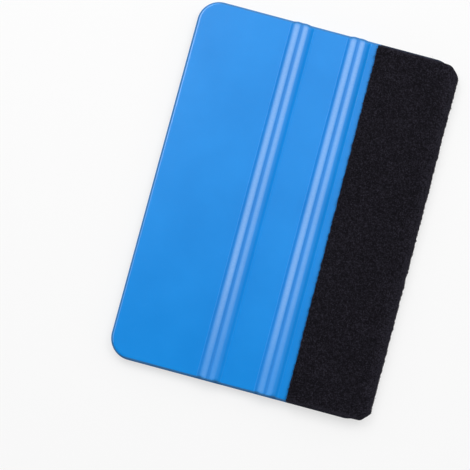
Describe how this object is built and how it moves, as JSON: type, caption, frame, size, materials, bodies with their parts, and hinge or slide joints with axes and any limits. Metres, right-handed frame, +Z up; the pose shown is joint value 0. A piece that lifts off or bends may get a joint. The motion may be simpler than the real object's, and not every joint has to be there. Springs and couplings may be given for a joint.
{
  "type": "squeegee applicator",
  "caption": "Flat hand-held plastic card with finger ribs and a felt-wrapped working edge, for smoothing film and vinyl.",
  "frame": {"origin": "middle of the part's footprint, on the plane that it rests on", "axes": "+X from the plain grip edge to the felt-covered working edge, +Y along the working edge, towards the end where the front flap of the felt is wider, +Z up, out of the front face"},
  "size_m": [0.0724, 0.1, 0.004],
  "materials": {
    "blue_polypropylene": "semi-gloss injection-moulded polypropylene with faint flow mottling and fine handling scratches",
    "acrylic_adhesive": "clear, slightly grey double-sided acrylic adhesive",
    "black_felt": "short-napped needled felt, matt black with a slight purple tint"
  },
  "bodies": {
    "root": {"card": "blue_polypropylene", "adhesive_film": "acrylic_adhesive", "felt_strip": "black_felt"}
  },
  "joints": []
}
